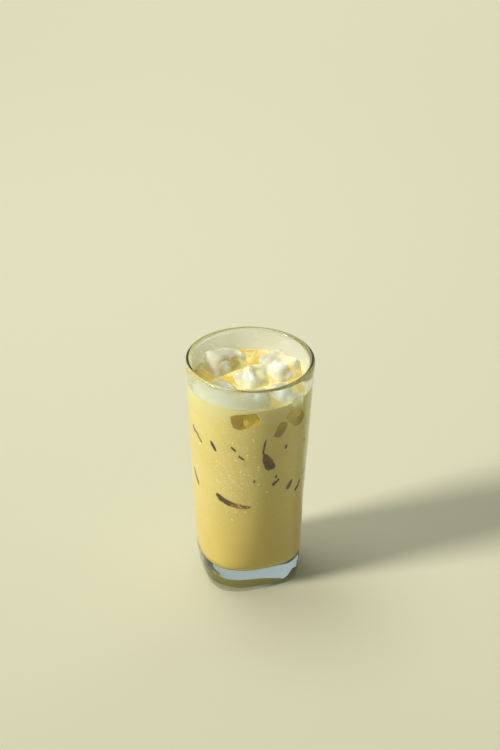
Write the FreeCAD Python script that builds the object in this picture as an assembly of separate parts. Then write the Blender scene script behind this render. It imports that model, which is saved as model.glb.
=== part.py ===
import FreeCAD, Part
import math
import os

# An iced coffee in its tumbler: a clear glass that is round at the rim and a rounded square at
# the foot, the milky coffee up to its level, and the ice cubes that stand out of the surface.
# Millimetres. Origin at the centre of the foot, on the table; +Z up; the foot's sides face X and Y.

# Tumbler
glass_height = 149.0
rim_diameter = 75.0
rim_wall = 3.1
rim_round = 1.35            # rounding of both edges of the rim
shoulder_height = 52.0      # above this the glass is a plain round taper
shoulder_diameter = 66.5
foot_side = 56.8            # across the flats of the foot
foot_squareness = 3.4       # exponent of the foot's superellipse; 2 is a circle
heel_round = 2.5
base_thickness = 15.0       # clear glass under the drink
floor_wall = 3.6            # wall beside the floor of the cavity
floor_round = 6.0           # rounding where the cavity's wall meets its floor
punt_radius = 18.0          # shallow hollow under the foot
punt_depth = 1.2

# Drink and ice
level_below_rim = 14.5
ice_round = 3.0
ice_draft = 0.10            # how much narrower a cube is at its top
ice_edge_share = 0.28       # largest rounding, as a share of a cube's shortest side

# How the curved walls are divided
section_points = 32         # points on each section's closed curve
foot_sections = 8           # from the foot, or the cavity's floor, to the shoulder
round_sections = 5          # in a quarter round
sewing_gap = 0.001

# Each cube: name, bearing and distance of its centre from the glass's axis, length, width,
# height, height of its centre above the drink's level, turn about Z, and tilts about X and Y.
# Distances and sizes are shares of the cavity's radius at the level, so the cubes fill the mouth.
ice_cubes = [
    ("ice_back_left", 118.0, 0.63, 0.72, 0.54, 0.62, -0.05, 18.0, -8.0, 9.0),
    ("ice_back_right", 14.0, 0.63, 0.77, 0.54, 0.60, -0.06, -74.0, 6.0, -7.0),
    ("ice_middle", -78.0, 0.10, 0.46, 0.44, 0.46, 0.04, 20.0, 38.0, 18.0),
    ("ice_front", -98.0, 0.73, 0.46, 0.38, 0.58, -0.09, -8.0, 5.0, 3.0),
    ("ice_front_right", -56.0, 0.73, 0.46, 0.38, 0.52, -0.10, 34.0, -4.0, 8.0),
    ("ice_front_left", -160.0, 0.60, 0.60, 0.54, 0.50, -0.20, -72.0, 4.0, -5.0),
]


def outer_taper(z):
    """Radius of the straight round taper, carried on below the shoulder."""
    slope = (rim_diameter - shoulder_diameter) / 2.0 / (glass_height - shoulder_height)
    return shoulder_diameter / 2.0 + slope * (z - shoulder_height)


def squareness_share(z):
    """1 at the foot, falling smoothly to 0 at the shoulder."""
    return max(0.0, 1.0 - z / shoulder_height)


def outer_half_side(z):
    squeeze = outer_taper(0.0) - foot_side / 2.0
    return outer_taper(z) - squeeze * squareness_share(z) ** 2.3


def cavity_half_side(z):
    rise = (z - base_thickness) / (glass_height - base_thickness)
    return outer_half_side(z) - floor_wall - (rim_wall - floor_wall) * rise


def section(half_side, z):
    """Closed superellipse at height z, as one periodic spline; a circle above the shoulder."""
    exponent = 2.0 + (foot_squareness - 2.0) * squareness_share(z) ** 1.5
    points = []
    for i in range(section_points):
        angle = 2.0 * math.pi * i / section_points
        c, s = abs(math.cos(angle)), abs(math.sin(angle))
        radius = half_side / (c ** exponent + s ** exponent) ** (1.0 / exponent)
        points.append(FreeCAD.Vector(radius * math.cos(angle), radius * math.sin(angle), z))
    curve = Part.BSplineCurve()
    curve.interpolate(Points=points, PeriodicFlag=True)
    return Part.Wire([curve.toShape()])


def evenly(start, end, steps):
    return [start + (end - start) * i / steps for i in range(steps + 1)]


def wall_faces(sections, straight=False):
    return Part.makeLoft(sections, False, straight).Faces


def closed_body(faces):
    shell = Part.makeCompound(faces)
    shell.sewShape(sewing_gap)
    return Part.Solid(shell.Shells[0])


def lower_wall(half_side, bottom, rounding):
    """Sections from a flat bottom, round its edge and up to the shoulder."""
    sections = []
    for a in evenly(0.0, math.pi / 2.0, round_sections)[:-1]:
        z = bottom + rounding * (1.0 - math.cos(a))
        sections.append(section(half_side(z) - rounding * (1.0 - math.sin(a)), z))
    for z in evenly(bottom + rounding, shoulder_height, foot_sections):
        sections.append(section(half_side(z), z))
    return sections


def lip(half_side, side):
    """Sections of the rim's rounded edge, going up; side is -1 on the outside, 1 on the inside."""
    sections = []
    for a in evenly(0.0, math.pi / 2.0, round_sections):
        z = glass_height - rim_round + rim_round * math.sin(a)
        sections.append(section(half_side(z) + side * rim_round * (1.0 - math.cos(a)), z))
    return sections


def punt():
    """Sphere that leaves a shallow dome under the foot."""
    sphere_radius = (punt_radius ** 2 + punt_depth ** 2) / (2.0 * punt_depth)
    return Part.makeSphere(sphere_radius, FreeCAD.Vector(0, 0, punt_depth - sphere_radius))


def glass():
    """Up the outside, over the rim, down the inside and across the floor, in one skin."""
    outside = lower_wall(outer_half_side, 0.0, heel_round)
    outer_lip = lip(outer_half_side, -1)
    inner_lip = lip(cavity_half_side, 1)
    inside = lower_wall(cavity_half_side, base_thickness, floor_round)
    faces = wall_faces(outside) + wall_faces([outside[-1], outer_lip[0]], True) + wall_faces(outer_lip)
    faces += wall_faces(inside) + wall_faces([inside[-1], inner_lip[0]], True) + wall_faces(inner_lip)
    faces += Part.Face(outer_lip[-1]).cut(Part.Face(inner_lip[-1])).Faces
    faces += [Part.Face(outside[0]), Part.Face(inside[0])]
    return closed_body(faces).cut(punt())


def ice_cube(length, width, height):
    """Block with a slight draft and rounded edges, centred on the origin."""
    dx, dy = length * ice_draft / 2.0, width * ice_draft / 2.0
    block = Part.makeWedge(
        -length / 2.0, -height / 2.0, -width / 2.0, -width / 2.0 + dy, -length / 2.0 + dx,
        length / 2.0, height / 2.0, width / 2.0, width / 2.0 - dy, length / 2.0 - dx,
    )
    block.rotate(FreeCAD.Vector(0, 0, 0), FreeCAD.Vector(1, 0, 0), 90)
    radius = min(ice_round, ice_edge_share * min(length, width, height))
    return block.makeFillet(radius, block.Edges)


def placed_ice():
    """Every cube in its place in the mouth of the glass, by name."""
    level = glass_height - level_below_rim
    bore = cavity_half_side(level)
    cubes = {}
    for name, bearing, out, length, width, height, lift, turn, tilt_x, tilt_y in ice_cubes:
        cube = ice_cube(length * bore, width * bore, height * bore)
        angle = math.radians(bearing)
        place = FreeCAD.Vector(out * bore * math.cos(angle), out * bore * math.sin(angle), level + lift * bore)
        turned = FreeCAD.Placement(place, FreeCAD.Rotation(turn, tilt_y, tilt_x))
        cube.Placement = turned.multiply(cube.Placement)
        cubes[name] = cube
    return cubes


def coffee(cubes):
    """The drink: it fills the glass up to the level, with room for each cube."""
    level = glass_height - level_below_rim
    inside = lower_wall(cavity_half_side, base_thickness, floor_round)
    surface = section(cavity_half_side(level), level)
    faces = wall_faces(inside) + wall_faces([inside[-1], surface], True)
    drink = closed_body(faces + [Part.Face(inside[0]), Part.Face(surface)])
    return drink.cut(Part.makeCompound(list(cubes.values())))


def main():
    os.makedirs("parts", exist_ok=True)
    cubes = placed_ice()
    nodes = {"glass": glass(), "coffee": coffee(cubes)}
    nodes.update(cubes)
    for name, shape in nodes.items():
        solid = shape.Solids[0] if len(shape.Solids) == 1 else shape
        solid.exportStep("parts/" + name + ".step")
        print(name, "solids", len(shape.Solids), "valid", shape.isValid(), "volume", round(shape.Volume))


main()
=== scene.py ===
import math
import random

import bmesh
import bpy
from mathutils import Matrix, Vector, noise


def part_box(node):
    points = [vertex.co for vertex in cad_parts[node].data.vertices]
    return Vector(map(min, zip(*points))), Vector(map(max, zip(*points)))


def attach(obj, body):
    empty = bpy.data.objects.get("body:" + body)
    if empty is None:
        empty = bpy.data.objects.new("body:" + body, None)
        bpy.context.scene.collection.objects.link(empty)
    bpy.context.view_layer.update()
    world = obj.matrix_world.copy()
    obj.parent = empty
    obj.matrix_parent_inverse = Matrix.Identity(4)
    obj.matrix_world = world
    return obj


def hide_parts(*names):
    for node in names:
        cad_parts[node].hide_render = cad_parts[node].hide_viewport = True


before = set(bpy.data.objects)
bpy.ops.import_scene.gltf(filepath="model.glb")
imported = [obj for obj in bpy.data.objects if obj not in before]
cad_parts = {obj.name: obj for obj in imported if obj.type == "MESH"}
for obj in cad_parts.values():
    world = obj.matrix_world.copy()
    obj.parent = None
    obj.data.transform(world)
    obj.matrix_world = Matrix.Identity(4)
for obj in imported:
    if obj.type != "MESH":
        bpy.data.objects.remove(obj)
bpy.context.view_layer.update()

mm = 0.001
mergeDistance = 0.01 * mm

# sizes shared by the glass and what fills it
tumbler = {
    "shoulder": 52 * mm,          # above this the glass is a plain round taper
    "shoulderRadius": 33.25 * mm,
    "footHalf": 28.4 * mm,        # half the side of the foot
    "footSquare": 3.4,            # superellipse exponent at the foot, 2 is a circle
    "rimWall": 3.1 * mm,
    "floorWall": 3.6 * mm,
    "base": 15 * mm,              # clear glass under the drink
    "floorRound": 6 * mm,
    "heel": 2.5 * mm,
    "lip": 1.35 * mm,
    "puntRadius": 18 * mm,
    "puntDepth": 1.2 * mm,
    "puntRings": 8,
    "heelRings": 8,
    "footRings": 24,
    "wallRings": 14,
    "lipRings": 7,
    "cavityRings": 18,            # from the shoulder down to the floor's rounding
    "floorRings": 10,
    "segments": 176,
}
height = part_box("glass")[1].z
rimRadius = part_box("glass")[1].x + 0.063 * mm      # the lip's rounding hides the last of the taper
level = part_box("coffee")[1].z


def taper(z):
    slope = (rimRadius - tumbler["shoulderRadius"]) / (height - tumbler["shoulder"])
    return tumbler["shoulderRadius"] + slope * (z - tumbler["shoulder"])


def squareShare(z):
    return min(1.0, max(0.0, 1 - z / tumbler["shoulder"]))


def outerSide(z):
    return taper(z) - (taper(0) - tumbler["footHalf"]) * squareShare(z) ** 2.3


def innerSide(z):
    rise = (z - tumbler["base"]) / (height - tumbler["base"])
    return outerSide(z) - tumbler["floorWall"] - (tumbler["rimWall"] - tumbler["floorWall"]) * rise


def squared(x, y, n):
    # how far a circle is pushed out at x, y to make a superellipse with exponent n
    r = math.hypot(x, y)
    if r < 1e-9:
        return 1.0
    return (abs(x / r) ** n + abs(y / r) ** n) ** (-1 / n)


def cornerPush(x, y, z):
    # from a round section to the rounded square at this height
    return squared(x, y, 2 + (tumbler["footSquare"] - 2) * squareShare(z) ** 1.5)


def steps(a, b, count):
    return [a + (b - a) * i / count for i in range(count + 1)]


def quarter(count):
    return steps(0, math.pi / 2, count)


def turned(profile, segments):
    # spins (radius, height) points round Z and squares the lower part off
    bm = bmesh.new()
    verts = [bm.verts.new((r, 0, z)) for r, z in profile]
    edges = [bm.edges.new(pair) for pair in zip(verts, verts[1:])]
    bmesh.ops.spin(bm, geom=verts + edges, axis=(0, 0, 1), cent=(0, 0, 0),
                   angle=2 * math.pi, steps=segments, use_merge=True)
    bmesh.ops.remove_doubles(bm, verts=bm.verts, dist=mergeDistance / 2)
    for v in bm.verts:
        k = cornerPush(v.co.x, v.co.y, v.co.z)
        v.co.x *= k
        v.co.y *= k
    bmesh.ops.recalc_face_normals(bm, faces=bm.faces)
    return bm


def meshFrom(bm, name):
    mesh = bpy.data.meshes.new(name)
    bm.to_mesh(mesh)
    bm.free()
    return mesh


def inScene(name, data):
    thing = bpy.data.objects.new(name, data)
    bpy.context.collection.objects.link(thing)
    return thing


def finishPiece(bm, name, material, stands=()):
    piece = inScene(name, meshFrom(bm, name))
    piece.data.materials.append(material)
    piece.data.shade_smooth()
    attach(piece, "root")
    if stands:
        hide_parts(*stands)
    print(name, len(piece.data.polygons), "faces")


def applied(piece):
    # bakes the object's modifiers into a plain mesh and drops the object
    depsgraph = bpy.context.evaluated_depsgraph_get()
    mesh = bpy.data.meshes.new_from_object(piece.evaluated_get(depsgraph))
    bm = bmesh.new()
    bm.from_mesh(mesh)
    bpy.data.meshes.remove(mesh)
    bpy.data.objects.remove(piece)
    return bm


def addCopy(bm, target, shrink=0.0):
    # adds a copy of bm to target, drawn in along its normals
    copy = bm.copy()
    copy.normal_update()
    for v in copy.verts:
        v.co -= v.normal * shrink
    mesh = meshFrom(copy, "copy")
    target.from_mesh(mesh)
    bpy.data.meshes.remove(mesh)


def newGroup(name, inputs, outputs):
    group = bpy.data.node_groups.new(name, "ShaderNodeTree")
    for label, value in inputs:
        socket = group.interface.new_socket(label, in_out="INPUT", socket_type="NodeSocketFloat")
        socket.default_value = value
    for label, kind in outputs:
        group.interface.new_socket(label, in_out="OUTPUT", socket_type=kind)
    return group, group.nodes.new("NodeGroupInput"), group.nodes.new("NodeGroupOutput")


def patchGroup():
    # soft patches, 0 to 1; Low and High are where they start and where they are full
    group, given, out = newGroup("softPatches", [("Scale", 60), ("Detail", 3), ("Low", 0.4), ("High", 0.6)],
                                 [("Mask", "NodeSocketFloat")])
    coord = group.nodes.new("ShaderNodeTexCoord")
    tex = group.nodes.new("ShaderNodeTexNoise")
    spread = group.nodes.new("ShaderNodeMapRange")
    spread.interpolation_type = "SMOOTHSTEP"
    group.links.new(coord.outputs["Object"], tex.inputs["Vector"])
    group.links.new(given.outputs["Scale"], tex.inputs["Scale"])
    group.links.new(given.outputs["Detail"], tex.inputs["Detail"])
    group.links.new(tex.outputs["Fac"], spread.inputs["Value"])
    group.links.new(given.outputs["Low"], spread.inputs["From Min"])
    group.links.new(given.outputs["High"], spread.inputs["From Max"])
    group.links.new(spread.outputs["Result"], out.inputs["Mask"])
    return group


def rippleGroup():
    # a wavy normal for melted ice, glass and the drink's surface
    group, given, out = newGroup("ripple", [("Scale", 90), ("Strength", 0.2), ("Distance", 0.0005)],
                                 [("Normal", "NodeSocketVector")])
    coord = group.nodes.new("ShaderNodeTexCoord")
    tex = group.nodes.new("ShaderNodeTexNoise")
    tex.inputs["Detail"].default_value = 2
    bump = group.nodes.new("ShaderNodeBump")
    group.links.new(coord.outputs["Object"], tex.inputs["Vector"])
    group.links.new(given.outputs["Scale"], tex.inputs["Scale"])
    group.links.new(given.outputs["Strength"], bump.inputs["Strength"])
    group.links.new(given.outputs["Distance"], bump.inputs["Distance"])
    group.links.new(tex.outputs["Fac"], bump.inputs["Height"])
    group.links.new(bump.outputs["Normal"], out.inputs["Normal"])
    return group


def heightGroup():
    # 0 below Bottom, 1 above Top, in metres
    group, given, out = newGroup("risingMask", [("Bottom", 0.0), ("Top", 0.1)],
                                 [("Mask", "NodeSocketFloat")])
    coord = group.nodes.new("ShaderNodeTexCoord")
    split = group.nodes.new("ShaderNodeSeparateXYZ")
    spread = group.nodes.new("ShaderNodeMapRange")
    spread.interpolation_type = "SMOOTHSTEP"
    group.links.new(coord.outputs["Object"], split.inputs["Vector"])
    group.links.new(split.outputs["Z"], spread.inputs["Value"])
    group.links.new(given.outputs["Bottom"], spread.inputs["From Min"])
    group.links.new(given.outputs["Top"], spread.inputs["From Max"])
    group.links.new(spread.outputs["Result"], out.inputs["Mask"])
    return group


softPatches = patchGroup()
ripple = rippleGroup()
risingMask = heightGroup()


def newMaterial(name, **values):
    mat = bpy.data.materials.new(name)
    mat.use_nodes = True
    shader = mat.node_tree.nodes["Principled BSDF"]
    for label, value in values.items():
        shader.inputs[label.replace("_", " ")].default_value = value
    return mat, mat.node_tree, shader


def placeGroup(tree, group, **values):
    node = tree.nodes.new("ShaderNodeGroup")
    node.node_tree = group
    for label, value in values.items():
        node.inputs[label].default_value = value
    return node.outputs[0]


def mixColours(tree, mask, a, b):
    # a and b are colours or the outputs of other nodes
    mix = tree.nodes.new("ShaderNodeMix")
    mix.data_type = "RGBA"
    tree.links.new(mask, mix.inputs["Factor"])
    for label, colour in (("A", a), ("B", b)):
        socket = [s for s in mix.inputs if s.name == label and s.type == "RGBA"][0]
        if isinstance(colour, tuple):
            socket.default_value = (*colour, 1)
        else:
            tree.links.new(colour, socket)
    return [s for s in mix.outputs if s.type == "RGBA"][0]


def combine(tree, operation, a, b):
    # a and b are numbers or the outputs of other nodes
    node = tree.nodes.new("ShaderNodeMath")
    node.operation = operation
    node.use_clamp = True
    for socket, value in zip(node.inputs, (a, b)):
        if isinstance(value, (int, float)):
            socket.default_value = value
        else:
            tree.links.new(value, socket)
    return node.outputs[0]


def letLightThrough(tree, shader, tint):
    # lamps and bounced light go straight through clear pieces, so what they hold is lit
    out = tree.nodes["Material Output"]
    path = tree.nodes.new("ShaderNodeLightPath")
    clear = tree.nodes.new("ShaderNodeBsdfTransparent")
    clear.inputs["Color"].default_value = (*tint, 1)
    last = shader.outputs["BSDF"]
    for ray in ("Is Shadow Ray", "Is Diffuse Ray"):
        mix = tree.nodes.new("ShaderNodeMixShader")
        tree.links.new(path.outputs[ray], mix.inputs[0])
        tree.links.new(last, mix.inputs[1])
        tree.links.new(clear.outputs["BSDF"], mix.inputs[2])
        last = mix.outputs["Shader"]
    tree.links.new(last, out.inputs["Surface"])


def glassMaterial():
    mat, tree, shader = newMaterial("clearTumblerGlass", Roughness=0.0, IOR=1.5, Transmission_Weight=1.0)
    tone = placeGroup(tree, softPatches, Scale=20, Low=0.35, High=0.65)
    colour = mixColours(tree, tone, (0.92, 0.96, 0.95), (0.94, 0.975, 0.965))
    tree.links.new(colour, shader.inputs["Base Color"])
    wave = placeGroup(tree, ripple, Scale=35, Strength=0.03, Distance=0.0004)
    tree.links.new(wave, shader.inputs["Normal"])
    letLightThrough(tree, shader, (0.97, 0.985, 0.975))
    # a long way through the glass, as at the rim and in the foot, turns green-grey
    depth = tree.nodes.new("ShaderNodeVolumeAbsorption")
    depth.inputs["Color"].default_value = (0.36, 0.48, 0.53, 1)
    depth.inputs["Density"].default_value = 16
    tree.links.new(depth.outputs["Volume"], tree.nodes["Material Output"].inputs["Volume"])
    return mat


def coffeeMaterial():
    mat, tree, shader = newMaterial("milkyIcedCoffee", Roughness=0.35, IOR=1.35, Subsurface_Weight=0.3,
                                    Subsurface_Scale=0.004)
    shader.inputs["Subsurface Radius"].default_value = (1.0, 0.8, 0.35)
    cream = placeGroup(tree, softPatches, Scale=26, Detail=4, Low=0.38, High=0.68)
    # painted shade: lower down the drink is darker and more golden, where less light falls on it
    lowerShadedCoffee = mixColours(tree, cream, (0.79, 0.58, 0.15), (0.83, 0.63, 0.19))
    upperCoffee = mixColours(tree, cream, (0.87, 0.69, 0.22), (0.91, 0.75, 0.29))
    rise = placeGroup(tree, risingMask, Bottom=tumbler["base"], Top=level)
    colour = mixColours(tree, rise, lowerShadedCoffee, upperCoffee)
    # cream gathers along the glass just under the surface. Between the cubes the top is darker amber,
    # partly unmixed coffee and partly painted shade from the cubes
    top = placeGroup(tree, risingMask, Bottom=level - 12 * mm, Top=level - 1 * mm)
    colour = mixColours(tree, combine(tree, "MULTIPLY", top, 0.45), colour, (0.95, 0.86, 0.48))
    swirlAndShade = placeGroup(tree, softPatches, Scale=75, Detail=3, Low=0.36, High=0.6)
    surface = placeGroup(tree, risingMask, Bottom=level - 0.7 * mm, Top=level - 0.2 * mm)
    edge = placeGroup(tree, risingMask, Bottom=level + 0.2 * mm, Top=level + 0.6 * mm)
    surface = combine(tree, "SUBTRACT", surface, edge)
    coord = tree.nodes.new("ShaderNodeTexCoord")
    facing = tree.nodes.new("ShaderNodeSeparateXYZ")
    tree.links.new(coord.outputs["Normal"], facing.inputs["Vector"])
    surface = combine(tree, "MULTIPLY", surface, facing.outputs["Z"])
    colour = mixColours(tree, combine(tree, "MULTIPLY", swirlAndShade, surface), colour, (0.72, 0.50, 0.08))
    tree.links.new(colour, shader.inputs["Base Color"])
    wave = placeGroup(tree, ripple, Scale=120, Strength=0.12, Distance=0.0003)
    tree.links.new(wave, shader.inputs["Normal"])
    return mat


def iceMaterial(name, clearness, deep, pale, through):
    mat, tree, shader = newMaterial(name, IOR=1.31, Transmission_Weight=clearness)
    haze = placeGroup(tree, softPatches, Scale=75, Detail=4, Low=0.42, High=0.68)
    # lower down the ice is painted darker: painted shade where less light reaches under the drink
    high = placeGroup(tree, risingMask, Bottom=level - 30 * mm, Top=level - 8 * mm)
    colour = mixColours(tree, high, deep, pale)
    tree.links.new(mixColours(tree, haze, deep, colour), shader.inputs["Base Color"])
    tree.links.new(combine(tree, "MULTIPLY", haze, 0.22), shader.inputs["Roughness"])
    wave = placeGroup(tree, ripple, Scale=110, Strength=0.25, Distance=0.0008)
    tree.links.new(wave, shader.inputs["Normal"])
    letLightThrough(tree, shader, through)
    return mat


def dewMaterial():
    mat, tree, shader = newMaterial("waterDrops", Roughness=0.0, IOR=1.33, Transmission_Weight=0.6)
    tone = placeGroup(tree, softPatches, Scale=300, Low=0.3, High=0.7)
    colour = mixColours(tree, tone, (1.0, 0.91, 0.56), (1.0, 0.96, 0.74))
    tree.links.new(colour, shader.inputs["Base Color"])
    letLightThrough(tree, shader, (0.97, 0.97, 0.96))
    return mat


def bubbleMaterial():
    mat, tree, shader = newMaterial("airBubbles", Roughness=0.08, IOR=1.3, Transmission_Weight=0.45)
    tone = placeGroup(tree, softPatches, Scale=400, Low=0.4, High=0.6)
    colour = mixColours(tree, tone, (0.90, 0.84, 0.55), (0.97, 0.96, 0.88))
    tree.links.new(colour, shader.inputs["Base Color"])
    letLightThrough(tree, shader, (0.93, 0.92, 0.85))
    return mat


def hazeMaterial():
    # white clouds of tiny air bubbles frozen into the cubes
    mat, tree, shader = newMaterial("frozenAir", Roughness=0.6, IOR=1.1)
    tone = placeGroup(tree, softPatches, Scale=150, Low=0.3, High=0.7)
    colour = mixColours(tree, tone, (0.88, 0.91, 0.90), (0.97, 0.98, 0.96))
    tree.links.new(colour, shader.inputs["Base Color"])
    wisps = placeGroup(tree, softPatches, Scale=170, Detail=5, Low=0.32, High=0.72)
    tree.links.new(combine(tree, "MULTIPLY", wisps, 0.85), shader.inputs["Alpha"])
    return mat


def filmMaterial():
    # the milky film that the drink leaves on the glass, thinner the higher it reaches
    mat, tree, shader = newMaterial("milkFilm", Roughness=0.3, IOR=1.35)
    tone = placeGroup(tree, softPatches, Scale=60, Low=0.4, High=0.6)
    colour = mixColours(tree, tone, (0.99, 0.95, 0.72), (1.0, 0.98, 0.86))
    tree.links.new(colour, shader.inputs["Base Color"])
    cream = tree.nodes.new("ShaderNodeVertexColor")
    cream.layer_name = "cream"
    wisps = placeGroup(tree, softPatches, Scale=90, Detail=4, Low=0.0, High=0.5)
    tree.links.new(combine(tree, "MULTIPLY", cream.outputs["Color"], wisps), shader.inputs["Alpha"])
    return mat


glassFinish = glassMaterial()
coffeeFinish = coffeeMaterial()
iceFinish = iceMaterial("wetClearIce", 0.6, (0.91, 0.98, 0.86), (0.96, 1.0, 0.92), (0.98, 0.99, 0.93))
# a shaded and a lit copy of the sunk ice: painted shade for the deep lumps and painted light for those near
# the surface, and each tints the light it lets through
shadedSunkIceFinish = iceMaterial("shadedDarkSunkIce", 0.97, (0.60, 0.41, 0.10), (0.80, 0.60, 0.20), (0.62, 0.46, 0.14))
litSunkIceFinish = iceMaterial("litAmberSunkIce", 0.84, (0.95, 0.74, 0.14), (1.0, 0.90, 0.36), (0.94, 0.84, 0.38))
dewFinish = dewMaterial()
bubbleFinish = bubbleMaterial()
hazeFinish = hazeMaterial()
filmFinish = filmMaterial()
print("materials made")


def tumblerProfile():
    t = tumbler
    points = [(0, t["puntDepth"])]
    for share in steps(0, 1, t["puntRings"])[1:]:
        r = t["puntRadius"] * share
        points.append((r, t["puntDepth"] * (1 - share ** 2)))
    for a in quarter(t["heelRings"]):
        z = t["heel"] * (1 - math.cos(a))
        points.append((outerSide(z) - t["heel"] * (1 - math.sin(a)), z))
    points += [(outerSide(z), z) for z in steps(t["heel"], t["shoulder"], t["footRings"])[1:]]
    points += [(outerSide(z), z) for z in steps(t["shoulder"], height - t["lip"], t["wallRings"])[1:]]
    for a in quarter(t["lipRings"])[1:]:
        z = height - t["lip"] + t["lip"] * math.sin(a)
        points.append((outerSide(z) - t["lip"] * (1 - math.cos(a)), z))
    for a in quarter(t["lipRings"])[::-1]:
        z = height - t["lip"] + t["lip"] * math.sin(a)
        points.append((innerSide(z) + t["lip"] * (1 - math.cos(a)), z))
    floorTop = t["base"] + t["floorRound"]
    points += [(innerSide(z), z) for z in steps(height - t["lip"], t["shoulder"], t["wallRings"])[1:]]
    points += [(innerSide(z), z) for z in steps(t["shoulder"], floorTop, t["cavityRings"])[1:]]
    for a in quarter(t["floorRings"])[::-1][1:]:
        z = t["base"] + t["floorRound"] * (1 - math.cos(a))
        points.append((innerSide(z) - t["floorRound"] * (1 - math.sin(a)), z))
    inner = points[-1][0]
    points += [(inner * share, t["base"]) for share in (0.75, 0.5, 0.25, 0)]
    return points


finishPiece(turned(tumblerProfile(), tumbler["segments"]), "tumblerGlass", glassFinish, ["glass"])


ice = {
    "voxel": 0.8 * mm,
    "smoothing": 2,
    "dents": 0.9 * mm,            # how uneven the melted faces are
    "dentSize": 11 * mm,
    "intoWall": 0.25 * mm,        # how far pressed ice reaches into the glass
    "footStart": 0.8 * mm,        # where a cube's foot starts, outside the cavity, before it is pressed
    "gap": 0.05 * mm,             # how far the drink overlaps the ice, so that no air shows
    "clouds": 6,                  # in each cube
    "cloudSizes": (1.8 * mm, 4.2 * mm),
    "cloudReach": 0.38,           # the share of a cube's box that clouds lie in
    "bubbles": 42,
    "bubbleReach": 0.55,
    "smallestBubble": 0.14 * mm,
    "bubbleGrowth": 0.36 * mm,
    "seed": 21,
}


def pressToWall(bm, reach):
    # flattens what stands out past the inside of the glass onto it
    for v in bm.verts:
        z = min(max(v.co.z, tumbler["base"] + tumbler["floorRound"]), height)
        limit = (innerSide(z) + reach) * cornerPush(v.co.x, v.co.y, z)
        r = math.hypot(v.co.x, v.co.y)
        if r > limit:
            v.co.x *= limit / r
            v.co.y *= limit / r


def dent(bm, amount, size):
    bm.normal_update()
    for v in bm.verts:
        p = v.co / size
        v.co += v.normal * amount * (noise.noise(p) + 0.45 * noise.noise(p * 2.7))


def melted(bm, name):
    # one rounded, dented lump from rough boxes
    lump = inScene(name, meshFrom(bm, name))
    remesh = lump.modifiers.new("remesh", "REMESH")
    remesh.mode = "VOXEL"
    remesh.voxel_size = ice["voxel"]
    smooth = lump.modifiers.new("smooth", "SMOOTH")
    smooth.factor = 0.5
    smooth.iterations = ice["smoothing"]
    bm = applied(lump)
    dent(bm, ice["dents"], ice["dentSize"])
    return bm


def atWall(bearing, z, turn, out):
    # a place on the inside of the glass, +Y inwards, turned about the way in
    a = math.radians(bearing)
    r = innerSide(z) + out
    place = Matrix.Translation((r * math.cos(a), r * math.sin(a), z))
    return place @ Matrix.Rotation(a + math.pi / 2, 4, "Z") @ Matrix.Rotation(math.radians(turn), 4, "Y")


def addFoot(bm, bearing, z, turn, wide, tall, deep):
    # a box that carries a cube on to the wall
    made = bmesh.ops.create_cube(bm, size=1)["verts"]
    size = Matrix.Diagonal((wide * mm, deep * mm, tall * mm, 1))
    shape = Matrix.Translation((0, deep * mm / 2, 0)) @ size
    place = atWall(bearing, z * mm, turn, ice["footStart"])
    bmesh.ops.transform(bm, matrix=place @ shape, verts=made)


# each cube above the drink, and the feet by which it touches the glass
protruding = {
    "ice_back_left": ("iceBackLeft", []),
    "ice_back_right": ("iceBackRight", []),
    "ice_middle": ("iceMiddle", []),
    "ice_front": ("iceFront", []),
    "ice_front_right": ("iceFrontRight", [(-57, 133, 12, 9, 8, 8)]),
    "ice_front_left": ("iceFrontLeft", []),
}
pockets = bmesh.new()
for node, (name, feet) in protruding.items():
    bm = bmesh.new()
    bm.from_mesh(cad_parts[node].data)
    bmesh.ops.remove_doubles(bm, verts=bm.verts, dist=mergeDistance)
    for foot in feet:
        addFoot(bm, *foot)
    bm = melted(bm, name)
    pressToWall(bm, ice["intoWall"])
    addCopy(bm, pockets, ice["gap"])
    finishPiece(bm, name, iceFinish, [node])


def ballMesh(subdivisions):
    bm = bmesh.new()
    bmesh.ops.create_icosphere(bm, subdivisions=subdivisions, radius=1)
    return meshFrom(bm, "ball")


roundBalls = {count: ballMesh(count) for count in (2, 3)}


def addBall(bm, matrix, subdivisions=2):
    copy = roundBalls[subdivisions].copy()
    copy.transform(matrix)
    bm.from_mesh(copy)
    bpy.data.meshes.remove(copy)


def placed(place, size):
    return Matrix.Translation(place) @ Matrix.Diagonal((*size, 1))


def insideOf(node, rnd, share):
    # a random place in the middle share of a cube
    low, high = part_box(node)
    middle, half = (low + high) / 2, (high - low) / 2 * share
    return middle + Vector([rnd.uniform(-1, 1) * h for h in half])


def frozenAir():
    rnd = random.Random(ice["seed"])
    clouds, bubbles = bmesh.new(), bmesh.new()
    for node in protruding:
        for i in range(ice["clouds"]):
            size = [rnd.uniform(*ice["cloudSizes"]) for axis in range(3)]
            addBall(clouds, placed(insideOf(node, rnd, ice["cloudReach"]), size), 3)
        for i in range(ice["bubbles"]):
            r = ice["smallestBubble"] + ice["bubbleGrowth"] * rnd.random() ** 2
            place = insideOf(node, rnd, ice["bubbleReach"])
            addBall(bubbles, placed(place, (r, r, r * rnd.uniform(1, 1.6))))
    dent(clouds, 0.7 * mm, 2.5 * mm)
    finishPiece(clouds, "iceClouds", hazeFinish)
    finishPiece(bubbles, "iceBubbles", bubbleFinish)


frozenAir()

# ice under the surface that shows where it touches the glass; angles in degrees, lengths in mm
sunkIce = {
    "outside": 0.9,               # its flat end before it is pressed to the wall
    "segments": 30,
    "dents": 0.6 * mm,
    "dentSize": 3 * mm,
    "blockiness": 0.15,           # how much squarer than an ellipse, for each mm of breadth
    "amberAbove": 114,            # light still reaches the ice above this height
    "seed": 7,
    "behind": 12,                 # lumps round the sides and the back
    "behindStart": 12,            # bearing of the first
    "behindStep": 12.5,           # from one to the next
    "behindHeights": (58, 124),
    "behindBreadths": [1.3, 1.8, 2.4, 5.5],
    "behindDepth": 8,
}
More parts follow.
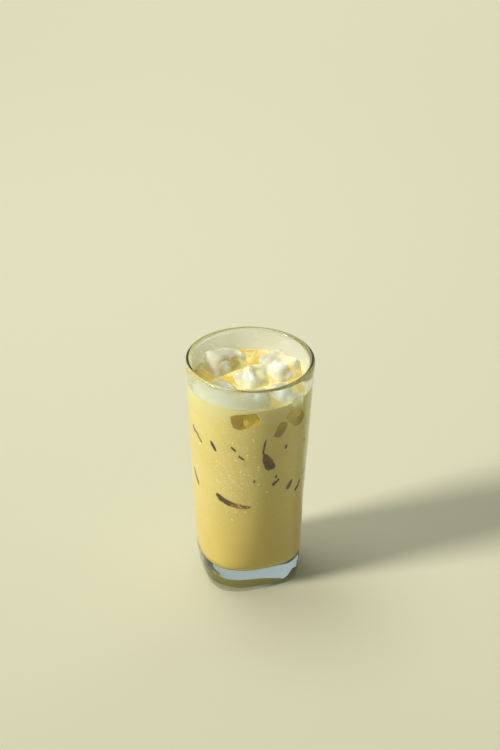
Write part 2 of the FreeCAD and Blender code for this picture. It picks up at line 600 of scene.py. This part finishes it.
# bearing, height, turn, breadth, length, how much wider inside, how flat one long side is,
# bow of the long axis, how much narrower the top end is, depth
windows = [
    (-111, 129.3, 74, 12.0, 14.5, 2.0, 0.45, 0.0, 0.22, 7),
    (-75.5, 119.5, 24, 6.5, 10.0, 1.5, 0.15, 0.0, -0.15, 5),
    (-57.5, 124.0, -36, 11.0, 15.0, 0.8, 0.2, 0.8, -0.15, 3.5),
    (-87.5, 98.5, -20, 5.2, 12.5, 1.8, 0.0, 0.3, 0.35, 10),
    (-92.0, 109.5, 8, 1.1, 10.5, 1.0, 0.0, 0.4, 0.1, 6),
    (-124, 67.0, 105, 3.8, 19.5, 2.6, 0.1, -2.0, 0.35, 10),
    (-173, 109.5, -42, 1.9, 5.0, 1.5, 0.0, 0.0, 0.0, 8),
    (-164.5, 106.5, -45, 1.5, 8.0, 1.2, 0.0, 0.3, 0.0, 8),
    (-144, 106.0, -34, 2.3, 7.0, 2.0, 0.1, 0.0, -0.1, 10),
    (-122, 107.6, -48, 1.5, 3.9, 1.5, 0.0, 0.2, 0.0, 8),
    (-114, 102.0, -44, 1.7, 4.0, 1.5, 0.0, 0.0, -0.2, 8),
    (-175, 74.5, -30, 2.2, 10.5, 1.5, 0.0, 0.4, 0.0, 8),
    (-78, 82.5, 49, 1.8, 5.0, 1.5, 0.0, 0.3, 0.2, 8),
    (-60, 76.5, 33, 2.8, 6.6, 2.0, 0.1, 0.2, 0.2, 10),
    (-44.5, 71.5, 40, 3.0, 7.2, 2.0, 0.2, -0.6, 0.3, 10),
    (-33, 77.4, 58, 1.7, 5.0, 1.5, 0.0, 0.0, 0.0, 8),
    (-38.5, 101.8, 5, 1.4, 3.6, 1.5, 0.0, 0.0, 0.0, 6),
    (-68, 106.0, 15, 1.6, 2.8, 1.2, 0.0, 0.0, 0.0, 5),
    (-101, 85.3, 10, 1.2, 2.2, 1.2, 0.0, 0.0, 0.0, 5),
    (-77.7, 86.6, 20, 1.2, 2.2, 1.2, 0.0, 0.0, 0.0, 5),
]


def lumpRings(deep):
    # (depth, share of the swell, size) from the middle of the flat end to the far end
    rings = [(-sunkIce["outside"], 0, share) for share in (0, 0.25, 0.5, 0.75, 1)] + [(0, 0, 1)]
    inner = [(0.1, 0.3, 1), (0.3, 0.75, 1), (0.6, 1, 1), (0.85, 0.9, 0.8), (0.97, 0.8, 0.45), (1, 0.8, 0)]
    return rings + [(deep * share, swelling, size) for share, swelling, size in inner]


def sunkLump(bearing, z, turn, breadth, length, swell, flat, bow, narrow, deep):
    rings = lumpRings(deep)
    bm = bmesh.new()
    marks = [bm.verts.new((share, depth, 0)) for depth, swelling, share in rings]
    edges = [bm.edges.new(pair) for pair in zip(marks, marks[1:])]
    count = sunkIce["segments"]
    bmesh.ops.spin(bm, geom=marks + edges, axis=(0, 1, 0), cent=(0, 0, 0), angle=2 * math.pi, steps=count,
                   use_merge=True)
    depths = [ring[0] for ring in rings]
    for v in bm.verts:
        nearest = min(range(len(depths)), key=lambda i: abs(depths[i] - v.co.y))
        grown = swell * rings[nearest][1]
        k = squared(v.co.x, v.co.z, 2 + breadth * sunkIce["blockiness"])
        x = k * v.co.x * (breadth / 2 + grown)
        up = k * v.co.z * (length / 2 + grown)
        along = up / (length / 2 + grown)
        if x < 0:
            x *= 1 - flat
        x = x * (1 - narrow * along) + bow * along ** 2
        v.co = Vector((x, v.co.y, up)) * mm
    bmesh.ops.remove_doubles(bm, verts=bm.verts, dist=mergeDistance)
    bmesh.ops.recalc_face_normals(bm, faces=bm.faces)
    bmesh.ops.transform(bm, matrix=atWall(bearing, z * mm, turn, 0), verts=bm.verts)
    dent(bm, sunkIce["dents"] * min(1, breadth / 3), sunkIce["dentSize"])
    pressToWall(bm, ice["intoWall"])
    bmesh.ops.remove_doubles(bm, verts=bm.verts, dist=mergeDistance)
    return bm


def makeSunkIce():
    rnd = random.Random(sunkIce["seed"])
    lumps = list(windows)
    for i in range(sunkIce["behind"]):
        breadth = rnd.choice(sunkIce["behindBreadths"])
        bearing = sunkIce["behindStart"] + sunkIce["behindStep"] * i + rnd.uniform(-5, 5)
        z = rnd.uniform(*sunkIce["behindHeights"])
        turn = rnd.uniform(-60, 60)
        length = breadth * rnd.uniform(1.6, 3)
        flat = rnd.uniform(0, 0.4)
        bow = rnd.uniform(-0.4, 0.4)
        lumps.append((bearing, z, turn, breadth, length, 1.8, flat, bow, 0.2, sunkIce["behindDepth"]))
    # lumps above amberAbove take the lit copy of the ice, the rest take the shaded copy
    high, low = bmesh.new(), bmesh.new()
    for lump in lumps:
        bm = sunkLump(*lump)
        addCopy(bm, high if lump[1] > sunkIce["amberAbove"] else low)
        addCopy(bm, pockets, ice["gap"])
        bm.free()
    finishPiece(high, "sunkIceHigh", litSunkIceFinish)
    finishPiece(low, "sunkIceLow", shadedSunkIceFinish)


makeSunkIce()

coffee = {
    "intoWall": 0.12 * mm,        # how far it reaches into the glass
    "meniscus": 0.9 * mm,         # how high it climbs at the wall
    "meniscusReach": 2.2 * mm,    # and how far from the wall that starts
    "meniscusCurve": 2.2,
    "waves": 0.5 * mm,
    "waveSize": 9 * mm,
    "crease": 40,                 # edges sharper than this many degrees stay sharp
    "wallRings": 104,
    "segments": 220,
}


def coffeeProfile():
    t = tumbler
    reach = coffee["intoWall"]
    floor = t["base"] - reach
    inner = innerSide(floor) - t["floorRound"]
    points = [(inner * share, floor) for share in (0, 0.25, 0.5, 0.75)]
    for a in quarter(t["floorRings"]):
        z = t["base"] + t["floorRound"] * (1 - math.cos(a))
        lowered = z - reach * math.cos(a)
        points.append((innerSide(z) - t["floorRound"] * (1 - math.sin(a)) + reach * math.sin(a), lowered))
    heights = steps(t["base"] + t["floorRound"], level, coffee["wallRings"])
    points += [(innerSide(z) + reach, z) for z in heights[1:]]
    edge = innerSide(level) + reach
    flatEdge = edge - coffee["meniscusReach"]
    for share in steps(0, 1, 5):
        climb = coffee["meniscus"] * (1 - share) ** coffee["meniscusCurve"]
        points.append((edge + (flatEdge - edge) * share, level + climb))
    points += [(flatEdge * share, level) for share in steps(1, 0, 24)[1:]]
    return points


def coffeeBody():
    # the drink with a hollow for every piece of ice
    bm = turned(coffeeProfile(), coffee["segments"])
    for v in bm.verts:
        if v.co.z > level - 0.1 * mm:
            v.co.z += coffee["waves"] * noise.noise(Vector((v.co.x, v.co.y, 0)) / coffee["waveSize"])
    body = inScene("coffeeBody", meshFrom(bm, "coffeeBody"))
    cutter = inScene("pockets", meshFrom(pockets, "pockets"))
    cut = body.modifiers.new("pockets", "BOOLEAN")
    cut.operation = "DIFFERENCE"
    cut.solver = "MANIFOLD"
    cut.object = cutter
    bm = applied(body)
    bpy.data.objects.remove(cutter)
    for edge in bm.edges:
        if len(edge.link_faces) == 2 and edge.calc_face_angle() > math.radians(coffee["crease"]):
            edge.smooth = False
    return bm


finishPiece(coffeeBody(), "icedCoffee", coffeeFinish, ["coffee"])

film = {
    "start": 0.4 * mm,            # above the drink
    "rise": 12.8 * mm,            # how far it reaches above the drink
    "rings": 14,
    "thickest": -165,             # bearing, in degrees
    "thinnest": 0.22,             # away from there
    "gather": 1.3,                # how much it keeps to the thickest side
    "fade": 0.22,                 # how early it thins out towards its top
    "uneven": 2 * mm,             # how much its top edge rises and falls
    "waver": 2.4,
    "thickness": 0.15 * mm,
    "clearance": 0.06 * mm,
}


def milkFilm():
    heights = steps(level + film["start"], level + film["rise"], film["rings"])
    inside = [(innerSide(z) - film["clearance"], z) for z in heights]
    back = [(r - film["thickness"], z) for r, z in inside[::-1]]
    bm = turned(inside + back + inside[:1], tumbler["segments"])
    cream = bm.verts.layers.float_color.new("cream")
    for v in bm.verts:
        around = math.atan2(v.co.y, v.co.x)
        share = (v.co.z - level) / film["rise"]
        near = max(0, math.cos(around - math.radians(film["thickest"])))
        amount = film["thinnest"] + (1 - film["thinnest"]) * near ** film["gather"]
        amount *= (1 - share) ** film["fade"]
        v[cream] = (amount, amount, amount, 1)
        place = Vector((math.cos(around), math.sin(around), 0)) * film["waver"]
        v.co.z += share * film["uneven"] * noise.noise(place)
    return bm


finishPiece(milkFilm(), "milkFilm", filmFinish)

froth = {
    "seed": 5,
    "atWall": 190,
    "onTop": 150,
    "smallest": 0.22 * mm,
    "largest": 0.85 * mm,
    "flatness": 0.8,
    "cling": 0.6,                 # where it clings to the wall, as a share of the meniscus
    "clearance": 0.1 * mm,
}


def makeFroth():
    rnd = random.Random(froth["seed"])
    bm = bmesh.new()
    for i in range(froth["atWall"] + froth["onTop"]):
        r = froth["smallest"] + (froth["largest"] - froth["smallest"]) * rnd.random() ** 3
        a = rnd.uniform(-math.pi, math.pi)
        reach = innerSide(level) - r - froth["clearance"]
        if i >= froth["atWall"]:
            reach *= math.sqrt(rnd.random())
        lift = coffee["meniscus"] * froth["cling"] if i < froth["atWall"] else 0
        place = (reach * math.cos(a), reach * math.sin(a), level + lift)
        addBall(bm, placed(place, (r, r, r * froth["flatness"])))
    return bm


finishPiece(makeFroth(), "froth", bubbleFinish)

dew = {
    "seed": 11,
    "drops": 1100,
    "smallest": 0.15 * mm,
    "largest": 0.44 * mm,
    "flatness": 0.5,
    "middle": (-118, 92),         # bearing and height in mm where most drops gather
    "spread": (16, 19),
    "strayEvery": 5,              # one drop in so many lies anywhere
    "strayHeights": (35, 125),
    "heights": (22, 132),
    # single larger drops: bearing, height, radius in mm
    "large": [(-123, 57, 0.8), (-119, 63, 0.7), (-131, 95, 0.65), (-108, 105, 0.7), (-136, 82, 0.6)],
}


def outsidePoint(bearing, z):
    a = math.radians(bearing)
    r = outerSide(z) * cornerPush(math.cos(a), math.sin(a), z)
    return Vector((r * math.cos(a), r * math.sin(a), z))


def addDrop(bm, bearing, z, radius):
    here = outsidePoint(bearing, z)
    across = outsidePoint(bearing + 0.5, z) - outsidePoint(bearing - 0.5, z)
    up = outsidePoint(bearing, z + 0.5 * mm) - outsidePoint(bearing, z - 0.5 * mm)
    out = across.cross(up).normalized()
    squash = Matrix.Diagonal((radius, radius, radius * dew["flatness"], 1))
    addBall(bm, Matrix.Translation(here) @ out.to_track_quat("Z", "Y").to_matrix().to_4x4() @ squash)


def makeDew():
    rnd = random.Random(dew["seed"])
    bm = bmesh.new()
    for i in range(dew["drops"]):
        if i % dew["strayEvery"]:
            bearing = rnd.gauss(dew["middle"][0], dew["spread"][0])
            z = rnd.gauss(dew["middle"][1], dew["spread"][1])
        else:
            bearing = rnd.uniform(-180, 180)
            z = rnd.uniform(*dew["strayHeights"])
        share = rnd.random() ** 3
        if dew["heights"][0] < z < dew["heights"][1]:
            radius = dew["smallest"] + (dew["largest"] - dew["smallest"]) * share
            addDrop(bm, bearing, z * mm, radius)
    for bearing, z, radius in dew["large"]:
        addDrop(bm, bearing, z * mm, radius * mm)
    return bm


finishPiece(makeDew(), "dewDrops", dewFinish)


studio = {
    "floorHalf": 4,               # metres
    "floorColour": (0.64, 0.61, 0.44),
    "skyStrength": 0.14,
    "skyLow": (0.25, (0.03, 0.04, 0.03)),      # dark up to this height of the sky
    "skyHigh": (0.62, (0.84, 0.93, 0.88)),     # and bright from this one up
    "backdrop": (0.72, 0.77, 0.74),
    # bearing and elevation, width of its disc in degrees, strength and colour
    "keyLight": (183, 34, 11.5, 3.25, (1.0, 0.98, 0.93)),
    # name, bearing and elevation, distance and size in metres, power and colour
    "softboxes": [
        ("topLight", 125, 68, 1.1, 0.6, 4.4, (0.97, 1.0, 0.97)),
        ("backPanel", 73, 33, 1.3, 2.2, 8.0, (0.90, 0.97, 0.93)),
        ("sideFill", -4, 14, 1.2, 0.5, 0.95, (0.90, 1.0, 0.88)),
    ],
}


def makeStage():
    bm = bmesh.new()
    bmesh.ops.create_grid(bm, x_segments=2, y_segments=2, size=studio["floorHalf"])
    floor = inScene("floor", meshFrom(bm, "floor"))
    mat, tree, shader = newMaterial("paleFloor", Roughness=0.8, Specular_IOR_Level=0.2)
    shader.inputs["Base Color"].default_value = (*studio["floorColour"], 1)
    floor.data.materials.append(mat)


def aimed(bearing, elevation):
    a, e = math.radians(bearing), math.radians(elevation)
    return Vector((math.cos(a) * math.cos(e), math.sin(a) * math.cos(e), math.sin(e)))


def addKey(bearing, elevation, spread, strength, colour):
    lamp = bpy.data.lights.new("keyLight", "SUN")
    lamp.angle = math.radians(spread)
    lamp.energy = strength
    lamp.color = colour
    key = inScene("keyLight", lamp)
    key.location = aimed(bearing, elevation)
    key.rotation_euler = aimed(bearing, elevation).to_track_quat("Z", "Y").to_euler()


def addSoftbox(name, bearing, elevation, distance, size, power, colour):
    lamp = bpy.data.lights.new(name, "AREA")
    lamp.shape = "DISK"
    lamp.size = size
    lamp.energy = power
    lamp.color = colour
    box = inScene(name, lamp)
    away = aimed(bearing, elevation)
    box.location = Vector((0, 0, height / 2)) + away * distance
    box.rotation_euler = away.to_track_quat("Z", "Y").to_euler()


def makeWorld():
    # bright overhead, dark round the horizon so that the glass has dark edges
    world = bpy.data.worlds.new("studio")
    bpy.context.scene.world = world
    world.use_nodes = True
    nodes, links = world.node_tree.nodes, world.node_tree.links
    coord = nodes.new("ShaderNodeTexCoord")
    split = nodes.new("ShaderNodeSeparateXYZ")
    ramp = nodes.new("ShaderNodeValToRGB")
    for stop, key in zip(ramp.color_ramp.elements, ("skyLow", "skyHigh")):
        stop.position = studio[key][0]
        stop.color = (*studio[key][1], 1)
    pale = nodes.new("ShaderNodeBackground")
    pale.inputs["Color"].default_value = (*studio["backdrop"], 1)
    path = nodes.new("ShaderNodeLightPath")
    mix = nodes.new("ShaderNodeMixShader")
    links.new(coord.outputs["Generated"], split.inputs["Vector"])
    links.new(split.outputs["Z"], ramp.inputs["Fac"])
    links.new(ramp.outputs["Color"], nodes["Background"].inputs["Color"])
    nodes["Background"].inputs["Strength"].default_value = studio["skyStrength"]
    links.new(path.outputs["Is Camera Ray"], mix.inputs[0])
    links.new(nodes["Background"].outputs[0], mix.inputs[1])
    links.new(pale.outputs[0], mix.inputs[2])
    links.new(mix.outputs[0], nodes["World Output"].inputs["Surface"])


view = {
    "azimuth": -16.6,             # degrees; the camera stands to the left of the foot's -Y side
    "elevation": 30.72,
    "distance": 832.9 * mm,       # to the middle of the rim
    "pitch": 31.40,
    "roll": 0.694,
    "lens": 69.6,
}


def makeCamera():
    a, e = math.radians(view["azimuth"]), math.radians(view["elevation"])
    cam = bpy.data.cameras.new("camera")
    cam.lens = view["lens"]
    cam.sensor_width = 36
    cam.clip_start = 0.05
    holder = inScene("camera", cam)
    back = Vector((math.sin(a) * math.cos(e), -math.cos(a) * math.cos(e), math.sin(e)))
    place = Vector((0, 0, height)) + back * view["distance"]
    tilt = Matrix.Rotation(math.radians(90 - view["pitch"]), 4, "X")
    roll = Matrix.Rotation(math.radians(view["roll"]), 4, "Z")
    holder.matrix_world = Matrix.Translation(place) @ Matrix.Rotation(a, 4, "Z") @ tilt @ roll
    bpy.context.scene.camera = holder


makeStage()
addKey(*studio["keyLight"])
for softbox in studio["softboxes"]:
    addSoftbox(*softbox)
makeWorld()
makeCamera()

scene = bpy.context.scene
scene.view_settings.view_transform = "Standard"
scene.cycles.use_denoising = True
scene.cycles.max_bounces = 14
scene.cycles.transmission_bounces = 14
scene.cycles.transparent_max_bounces = 24
scene.cycles.diffuse_bounces = 5
scene.cycles.glossy_bounces = 6
scene.cycles.caustics_reflective = False
scene.cycles.caustics_refractive = False
print("stage set")
